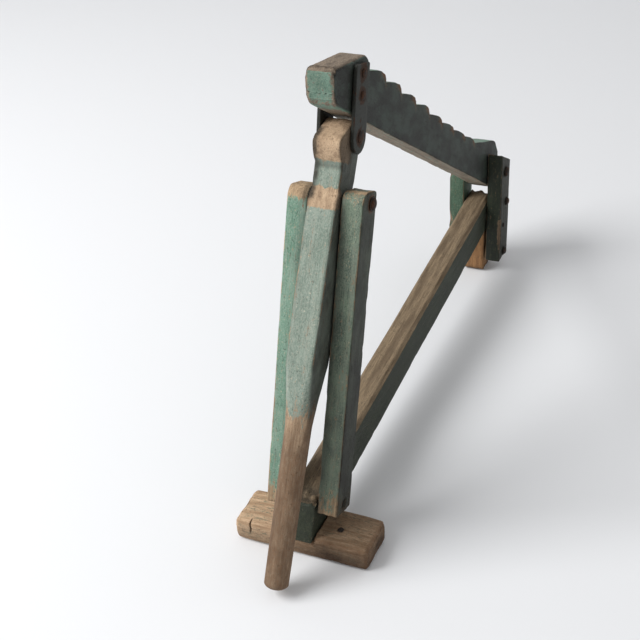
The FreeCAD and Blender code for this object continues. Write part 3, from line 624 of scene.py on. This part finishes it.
cap_angle = math.atan2(CAP_RISE, -CAP_LEAN)
cap_tangent = CAP_ROUND / math.tan(cap_angle / 2)
round_along, round_up = CAP_LEAN + cap_tangent, CAP_RISE - CAP_ROUND
cap_start = round_along - CAP_ROUND
at_cap = eased(104.0, 96.0, fine)
rounded = softened(outline, NOSE_WEAR)
rounded = rounded * (1 - at_cap) + softened(softened(outline, 6.0), 6.0) * at_cap
t = [np.arange(cap_start, TAIL_END, 2.4), np.array([TAIL_END])]
t += [np.arange(s - 16.0, s + 12.0, 1.0) for s, _ in noses]
t += [cap_start + CAP_ROUND * (1 - np.cos(np.linspace(0, math.pi / 2, 14))),
      TAIL_END - TAIL_ROUND * (1 - np.cos(np.linspace(0, math.pi / 2, 10))),
      np.arange(-6.0, 10.0, 1.0)]
t = np.unique(np.round(np.concatenate(t), 2))
top = np.interp(t, fine, rounded)
under = np.where(t < 0, -t * CAP_RISE / -CAP_LEAN, 0.0)
arc = np.sqrt(np.maximum(CAP_ROUND ** 2 - (t - round_along) ** 2, 0.0))
top = np.where(t < round_along, round_up + arc, top)
under = np.where(t < CAP_LEAN + cap_tangent * math.cos(cap_angle), round_up - arc, under)
under = under + 6.5 * np.exp(-(t / 6.0) ** 2)
tail = np.clip(t - (TAIL_END - TAIL_ROUND), 0.0, TAIL_ROUND)
tail_cut = TAIL_ROUND - np.sqrt(np.maximum(TAIL_ROUND ** 2 - tail ** 2, 0.0))
top, under = top - tail_cut, under + tail_cut
half_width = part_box("step_bar")[1][0] / MM
narrow = 3.4 * np.clip(1 - (t - cap_start) / 8.0, 0, 1) ** 2
corner = np.interp(t, [cap_start, cap_start + 5, 80.0, 98.0], [5.0, 7.5, 7.0, 2.4])
points, edge = carried(t, half_width - narrow, -top, -np.minimum(under, top - 0.6), corner,
                       0.05, 18, 26)
x, y, z = points[..., 0], points[..., 1], points[..., 2]
crest = -y - np.interp(z, t, top)
tops = eased(-3.4, -0.8, crest)
nose_far = np.min(np.abs(z[..., None] + 4.0 - noses[:, 0]), axis=-1)
nose_wear = np.exp(-(nose_far / 12.0) ** 2) * eased(-17.0, -4.0, crest) * eased(110.0, 120.0, z)
nose_rust = nose_wear * np.interp(z, [100.0, 480.0, 640.0], [1.0, 0.9, 0.35])
foot_far = np.min(np.abs(z[..., None] - feet[:, 0] - 2.0), axis=-1)
# Darker along the foot of each riser.
riser_foot_dark = np.exp(-(foot_far / 4.0) ** 2) * eased(-4, 0, crest)
front_face = eased(5.0, 1.5, z + CAP_LEAN * y / CAP_RISE)
down_face = (z - cap_start) / math.cos(cap_angle) + CAP_ROUND
on_cap_face = (front_face > 0.5) & (z < 4.0)
edge = np.where(on_cap_face, np.minimum(half_width - np.abs(x), down_face), edge)
cap_top = eased(96.0, 84.0, z) * tops
cap_top *= np.where(z < round_along, eased(39.5, 42.0, -y), 1.0)
underside = eased(2.0, 0.5, -y) * eased(20.0, 40.0, z)
cap_arris = eased(7.5, 3.0, edge) * eased(104.0, 90.0, z) * eased(24.0, 10.0, z)
chin = np.exp(-((y + 1.0) / 5.0) ** 2) * np.exp(-((z - 1.0) / 7.0) ** 2)
mottled = patches(points, (9.0, 5.0, 7.0), 137)
# Painted shade: both sides darkened, the right side most, apart from the cap's front face.
side_shade = eased(0.86, 0.99, np.abs(x) / half_width) * (1 - front_face)
points = weathered(points, edge, 131, grain=0.42, sag=0.9, nick=2.0)
dent = nose_wear * (0.3 + 1.0 * mottled)
points[..., 1] += 3.0 * dent
# Green paint on oak: clear on the cap's face, grey wood below, and nearly black on the sides,
# partly as painted shade.
bar_oak = old_wood("green_paint_on_bar", along_lean(90.0 + BAR_SLOPE),
                   ("#837260", "#a39381", "#62564a"),
                   ("#6c8c7b", "#5d7b6a", "#859a8a", "#b5b19b"), 0.80, 13, edge_mm=2.6,
                   dirt_and_shade="#181914")
solid("bar_plank", points, leaning(bar_root, 90.0 + BAR_SLOPE),
      {"edge": edge,
       "bare": np.clip((0.55 + 0.5 * mottled) * nose_wear + 0.85 * cap_top + 0.45 * cap_arris
                       + 0.5 * chin + 0.42 * underside, 0, 1.2),
       "rust": (0.45 + 0.75 * mottled) * nose_rust,
       "grime_and_shade": np.clip(0.94 * side_shade * np.where(x > 0, 1.0, 0.55) * (1 - 0.5 * nose_wear)
                        + 0.45 * riser_foot_dark + 0.16 * eased(110.0, 90.0, z), 0, 0.96)},
      bar_oak, "bar", ["step_bar"])

# ---------------------------------------------------------------------------
# Straps. Two flat iron plates, forged from strip, that hang from the bar on two rivets each
# and take the lever's pin in their rounded lower ends. Painted over with the wood, then rusted.
# ---------------------------------------------------------------------------
STRAP_HALF, STRAP_REACH, STRAP_TILT = 22.8, 96.0, 18.2
RIVET_REACH = (83.4, 54.6)


def iron(name, coats, rust, patchy, seed, bump=0.6, gloss=0.62):
    """Wrought iron that has rusted under paint: a dark skin with orange-brown bloom in patches
    15 mm across, pitted at 2 mm. Rust is a dull dielectric, so only the skin keeps some metal."""
    material = bpy.data.materials.new(name)
    material.use_nodes = True
    tree = material.node_tree
    tree.nodes.clear()
    spot = add(tree, "ShaderNodeTexCoord").outputs["Object"]
    moved = add(tree, "ShaderNodeMapping", {
        "Vector": spot, "Location": (seed * 0.31, seed * 0.17, 0.0)}).outputs[0]
    bloom = add(tree, "ShaderNodeTexNoise", {"Vector": moved, "Scale": 1 / (15 * MM), "Detail": 5.0,
                                             "Roughness": 0.65}).outputs["Fac"]
    pits = add(tree, "ShaderNodeTexNoise", {"Vector": moved, "Scale": 1 / (2.2 * MM),
                                            "Detail": 3.0}).outputs["Fac"]
    amount = add(tree, "ShaderNodeAttribute", attribute_name="bare").outputs["Fac"]
    level = add(tree, "ShaderNodeMath", {0: bloom, 1: amount}, operation="ADD").outputs[0]
    rusty = add(tree, "ShaderNodeMapRange", {"Value": level, "From Min": patchy,
                                             "From Max": patchy + 0.14}).outputs[0]
    grit = add(tree, "ShaderNodeMapRange", {"Value": pits, "From Min": 0.35,
                                            "From Max": 0.65}).outputs[0]
    skin, brown = (add(tree, "ShaderNodeMix", {0: grit, 6: linear(pair[0]), 7: linear(pair[1])},
                       data_type="RGBA").outputs[2] for pair in (coats, rust))
    colour = add(tree, "ShaderNodeMix", {0: rusty, 6: skin, 7: brown}, data_type="RGBA").outputs[2]
    relief = add(tree, "ShaderNodeBump", {"Height": pits, "Strength": bump,
                                          "Distance": 0.6 * MM}).outputs[0]
    dull = add(tree, "ShaderNodeMapRange", {"Value": rusty, "To Min": gloss,
                                            "To Max": 0.9}).outputs[0]
    shader = add(tree, "ShaderNodeBsdfPrincipled", {
        "Base Color": colour, "Roughness": dull, "Metallic": 0.25, "Normal": relief})
    add(tree, "ShaderNodeOutputMaterial", {"Surface": shader.outputs[0]})
    return material


# Painted strap iron: a dull green-black skin that breaks into brown round the rivets.
strap_iron = iron("painted_strap_iron", ("#1d1f19", "#2a2d26"), ("#2f231a", "#4c3323"), 0.60, 5)
for side, node, seed in ((1, "strap_right", 61), (-1, "strap_left", 67)):
    low, high = corners(node)
    centre, half = (low[0] + high[0]) / 2, (high[0] - low[0]) / 2
    t = stations(-STRAP_HALF, STRAP_REACH, 2.5, 3.0,
                 dense=((-STRAP_HALF, 8.0, 0.8), (-STRAP_HALF, 1.5, 0.2)))
    drop = np.clip(-t, 0.0, STRAP_HALF)
    width = np.sqrt(np.maximum(STRAP_HALF ** 2 - drop ** 2, 0.3))
    width = width - 2.5 * eased(STRAP_REACH - 4.0, STRAP_REACH, t) ** 2
    points, edge = carried(t, half, -width, width, 1.0, 0.6, 6, 22)
    points = weathered(points, edge, seed, grain=0.12, sag=0.35, nick=0.6)
    heads = np.min([np.hypot(points[..., 1], points[..., 2] - reach)
                    for reach in (0.0, *RIVET_REACH)], axis=0)
    solid(node + "_plate", points,
          leaning((centre, strap_pin[1], strap_pin[2]), BAR_SLOPE - STRAP_TILT),
          {"bare": 0.3 * eased(17.0, 9.0, heads) + 0.12 * eased(3.0, 0.5, edge)},
          strap_iron, "bar", [node])

# ---------------------------------------------------------------------------
# Rear frame. Two upright cheeks bolted to the end of the beam, with the bar's tail swinging
# between their tops, and a short bare leg of newer wood between their feet.
# ---------------------------------------------------------------------------
CHEEK_LEAN, CHEEK_DEPTH = 9.0, 54.0
CHEEK_FALL, CHEEK_ROUND = 32.0, 60.0


def slope_off(z, was, back, top):
    """Squeezes the upper 60 mm of a cheek under a top that falls 32 mm from front to back."""
    share = np.clip((was - (top - CHEEK_ROUND)) / CHEEK_ROUND, 0.0, 1.0)
    return z - share * CHEEK_FALL * np.clip(back / CHEEK_DEPTH, 0.0, 1.1)


for side, node, seed in ((1, "rear_cheek_right", 71), (-1, "rear_cheek_left", 83)):
    low, high = corners(node)
    centre, half = (low[0] + high[0]) / 2, (high[0] - low[0]) / 2
    t = stations(low[2], high[2], 2.4, 3.0, dense=((high[2] - 20.0, 22.0, 1.4),))
    face = low[1] + CHEEK_LEAN * (t - low[2]) / (high[2] - low[2])
    points, edge = carried(t, half, face, face + CHEEK_DEPTH, 2.2, 3.0, 13, 22)
    x, y, z = points[..., 0], points[..., 1], points[..., 2]
    from_arris = np.hypot(half - side * x, y - np.interp(z, t, face))
    wave = eased(0.45, 0.8, patches(points, (40.0, 40.0, 26.0), seed + 6))
    wave *= eased(9.0, 0.0, from_arris)
    points = weathered(points, edge, seed, grain=0.4, sag=0.8, nick=2.6)
    points[..., 1] += 3.2 * wave
    points[..., 0] -= side * 2.0 * wave
    points[..., 2] = slope_off(points[..., 2], z, y - low[1] - CHEEK_LEAN, high[2])
    outer = side * x / half
    # Weathered green, a plain mid green on the left cheek; the right cheek is painted black-green as
    # painted shade, for the bar's shadow and its shaded side.
    paint = (("#20291d", "#192117", "#2b3325", "#84805f") if side > 0 else
             ("#4c6753", "#3f5a47", "#5e7560", "#a9a585"))
    green = old_wood("green_paint_on_" + node, along_lean(2.3), ("#7b6650", "#9a8064", "#5d4e3e"),
                     paint, 0.80, seed, edge_mm=2.8)
    solid(node + "_plank", points, leaning((centre, 0, 0), 0.0),
          {"edge": edge, "bare": 0.9 * wave, "grime_and_shade": 0.45 * eased(0.6, 0.95, outer)},
          green, "base", [node])

low, high = corners("rear_leg")
LEG_ROUND, LEG_FRONT_TOP = 11.0, 86.0
t = stations(0.0, high[2], 2.2, 2.0, dense=((5.0, 6.0, 0.7),))
below = np.clip(LEG_ROUND - t, 0, LEG_ROUND)
turn_up = LEG_ROUND - np.sqrt(np.maximum(LEG_ROUND ** 2 - below ** 2, 0.0))
points, edge = carried(t, high[0] - 0.3, low[1] + turn_up + 0.3, high[1] - turn_up - 0.3, 3.0, 2.0,
                       14, 18)
slant = (high[2] - LEG_FRONT_TOP) / (high[1] - low[1])
top = LEG_FRONT_TOP + (points[..., 1] - low[1]) * slant
points[..., 2] = np.minimum(points[..., 2], top)
points = weathered(points, edge, 151, grain=0.4, sag=0.8, nick=2.2)
# Bare pine, newer than the rest: warm tan, darker at its foot.
leg_pine = old_wood("bare_pine", along_lean(0.0), ("#8d6844", "#a97f56", "#6a4b31"),
                    ("#7b6c55", "#7b6c55", "#8a7a60", "#b79a76"), 0.5, 17, edge_mm=3.0)
solid("leg_block", points, leaning((0, 0, 0), 0.0),
      {"edge": edge, "bare": 1.1 + 0 * edge, "grime_and_shade": 0.55 * eased(16.0, 0.0, points[..., 2])},
      leg_pine, "base", ["rear_leg"])

# ---------------------------------------------------------------------------
# Ironwork. Forged bolts with hammered heads over washers on the right, riveted flush on the
# left, a headless pin at the foot, and pins hammered over the straps. All of it is rusty.
# ---------------------------------------------------------------------------
# Rusted wrought iron: nearly black with brown bloom and pits, hardly any gloss.
rusty_iron = iron("rusty_iron", ("#1f1813", "#2c211a"), ("#3a271b", "#5b3a26"), 0.56, 9,
                  bump=0.9, gloss=0.7)


def turned(x, radius, count, lumpy, seed):
    """Rings round the X axis: radius follows x, with hammer marks `lumpy` mm deep."""
    angle = np.linspace(0, 2 * math.pi, count, endpoint=False)
    r = radius[:, None] * np.ones(count)
    ring = np.stack([x[:, None] * np.ones(count), r * np.cos(angle), r * np.sin(angle)], axis=-1)
    dents = lumpy * patches(ring, (4.0, 4.0, 4.0), seed) / np.maximum(r, 1.0)
    ring[..., 1:] *= 1.0 - dents[..., None]
    return ring


def at(origin):
    """Sets a piece made round the X axis down at a place in the frame."""
    def place(p):
        return p + np.array(origin)
    return place


def domed_head(x0, out, radius, height):
    """Points (x, r) of a hammered head, from the wood to its crown: a rounded rim, then x as the
    sine and r as the cosine to the power 0.75 of an angle from 0 to 90 degrees."""
    a = np.linspace(0, math.pi / 2, 12)
    rim = np.array([[0.0, 0.0], [0.0, 0.55 * radius], [0.0, radius - 0.5], [0.35, radius]])
    dome = np.stack([0.35 + (height - 0.35) * np.sin(a), radius * np.cos(a) ** 0.75], axis=-1)
    line = np.concatenate([rim, dome[1:]])
    return x0 + out * line[:, 0], line[:, 1]


def rusted(points, amount=0.1):
    """The same amount of rust at every point of a piece of ironwork."""
    return {"bare": np.full(points.shape[:2], amount)}


for stem, body, radius in (("lever_bolt", "uprights", 6.0), ("rear_bolt", "base", 6.0),
                           ("beam_bolt", "base", 4.0), ("leg_bolt", "base", 4.0)):
    low, high = corners(stem)
    washer_low, washer_high = corners(stem + "_washer")
    middle = (low + high) / 2
    head_r, face = (high[1] - low[1]) / 2, washer_high[0]
    head_x, head_line = domed_head(face, 1.0, head_r, high[0] - face)
    end_x = low[0] + np.array([0.0, 0.0, 0.0, 0.5, 1.2])
    end_r = radius * np.array([0.0, 0.6, 0.86, 0.98, 1.0])
    points = turned(np.concatenate([end_x, [face - 0.2], head_x[1:]]),
                    np.concatenate([end_r, [radius], head_line[1:]]), 36, 0.5, 7)
    solid(stem + "_iron", points, at((0, middle[1], middle[2])), rusted(points), rusty_iron, body,
          [stem])
    washer_r, thick = (washer_high[1] - washer_low[1]) / 2, washer_high[0] - washer_low[0]
    ring_x = washer_low[0] + thick * np.array([0.0, 0.0, 0.0, 0.35, 0.7, 1.0, 1.0, 1.0])
    ring_r = np.array([0.0, 0.8 * washer_r, washer_r - 0.4, washer_r, washer_r, washer_r - 0.5,
                       0.75 * washer_r, 0.0])
    points = turned(ring_x, ring_r, 36, 0.9, 3)
    solid(stem + "_washer_iron", points, at((0, middle[1], middle[2])), rusted(points, 0.0),
          rusty_iron, body, [stem + "_washer"])

low, high = corners("foot_pin")
PIN_SUNK = 3.0
end = high[0] - PIN_SUNK
points = turned(np.array([-end, -end, -end + 1.0, 0.0, end - 1.0, end, end]),
                np.array([0.0, 4.6, 5.9, 5.95, 5.9, 4.6, 0.0]), 32, 0.3, 23)
solid("foot_pin_iron", points, at((0, foot_pin[1], foot_pin[2])), rusted(points), rusty_iron,
      "uprights", ["foot_pin"])

# Pins of the straps: a shank with a head hammered over at each end.
low, high = corners("strap_pin")
RIVET_HEAD = 6.4
tilt = math.radians(BAR_SLOPE - STRAP_TILT)
for name, radius, head_r, reach, nodes in (
        ("strap_pin_iron", 6.0, (high[1] - low[1]) / 2, 0.0, ["strap_pin"]),
        ("strap_rivet_high", 4.5, RIVET_HEAD, RIVET_REACH[0], ["strap_rivets"]),
        ("strap_rivet_low", 4.5, RIVET_HEAD, RIVET_REACH[1], ["strap_rivets"])):
    face = high[0] - 3.2
    right_x, right_r = domed_head(face, 1.0, head_r, 3.2)
    left_x, left_r = domed_head(-face, -1.0, head_r, 3.2)
    points = turned(np.concatenate([left_x[::-1][:-1], [-face + 1, face - 1], right_x[1:]]),
                    np.concatenate([left_r[::-1][:-1], [radius, radius], right_r[1:]]), 32, 0.5, 29)
    where = (0, strap_pin[1] + reach * math.sin(tilt), strap_pin[2] + reach * math.cos(tilt))
    solid(name, points, at(where), rusted(points, 0.2), rusty_iron, "bar", nodes)

# Nails: those in the beam, the foot and the cheeks keep their own solids, under the same rust.
for node in ("beam_nails", "foot_nail", "cheek_nails"):
    obj = frame["nodes"][node]
    for slot in obj.material_slots:
        slot.material = rusty_iron

# ---------------------------------------------------------------------------
# Room: a pale floor that curves up behind, soft light from the upper left, camera.
# ---------------------------------------------------------------------------
SWEEP_Y, SWEEP_R, WALL = 3.4, 1.6, 5.0
a = np.linspace(0, math.pi / 2, 24)
py = np.concatenate([[-6.0], SWEEP_Y + SWEEP_R * np.sin(a), [SWEEP_Y + SWEEP_R]])
pz = np.concatenate([[0.0], SWEEP_R * (1 - np.cos(a)), [WALL]])
xs = np.linspace(-8.0, 8.0, 5)
cloth = np.stack([np.repeat(xs[:, None], len(py), 1), np.tile(py, (5, 1)), np.tile(pz, (5, 1))],
                 axis=-1)
grid = np.arange(5 * len(py)).reshape(5, len(py))
quads = np.stack([grid[:-1, :-1], grid[1:, :-1], grid[1:, 1:], grid[:-1, 1:]], axis=-1)
mesh = bpy.data.meshes.new("floor")
mesh.from_pydata(cloth.reshape(-1, 3).tolist(), [], quads.reshape(-1, 4).tolist())
for polygon in mesh.polygons:
    polygon.use_smooth = True
floor = bpy.data.objects.new("floor", mesh)
bpy.context.scene.collection.objects.link(floor)
# Matt pale paper: no sheen, so the shadow under the foot stays soft.
paper = bpy.data.materials.new("pale_floor")
paper.use_nodes = True
paper.node_tree.nodes["Principled BSDF"].inputs["Base Color"].default_value = linear("#ebecee")
paper.node_tree.nodes["Principled BSDF"].inputs["Roughness"].default_value = 0.9
mesh.materials.append(paper)
floor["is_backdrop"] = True

LAMP_PLACE, LAMP_AIM = Vector((-2.7, -1.5, 3.1)), Vector((0.0, 0.3, 0.3))
light = bpy.data.lights.new("key", "AREA")
light.shape = "SQUARE"
light.size = 2.4
light.energy = 170.0
lamp = bpy.data.objects.new("key", light)
lamp.location = LAMP_PLACE
lamp.rotation_euler = (LAMP_AIM - LAMP_PLACE).to_track_quat("-Z", "Y").to_euler()
bpy.context.scene.collection.objects.link(lamp)
world = bpy.data.worlds.new("room")
bpy.context.scene.world = world
world.use_nodes = True
world.node_tree.nodes["Background"].inputs["Color"].default_value = (1.0, 1.0, 1.0, 1.0)
world.node_tree.nodes["Background"].inputs["Strength"].default_value = 0.52

# The plain view transform keeps the floor as pale as it is.
bpy.context.scene.view_settings.view_transform = "Standard"

YAW, PITCH, ROLL = math.radians(25.89), math.radians(33.45), math.radians(-4.31)
CAMERA_PLACE, LENS_MM = (0.5836, -1.1175, 1.2128), 66.1
forward = Vector((-math.sin(YAW) * math.cos(PITCH), math.cos(YAW) * math.cos(PITCH),
                  -math.sin(PITCH)))
right = Vector((math.cos(YAW), math.sin(YAW), 0.0))
upward = right.cross(forward)
camera_right = right * math.cos(ROLL) + upward * math.sin(ROLL)
camera_up = upward * math.cos(ROLL) - right * math.sin(ROLL)
data = bpy.data.cameras.new("camera")
data.lens = LENS_MM
data.sensor_width = 36.0
camera = bpy.data.objects.new("camera", data)
turn = Matrix((camera_right, camera_up, -forward)).transposed()
camera.matrix_world = Matrix.Translation(CAMERA_PLACE) @ turn.to_4x4()
bpy.context.scene.collection.objects.link(camera)
bpy.context.scene.camera = camera

low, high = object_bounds()
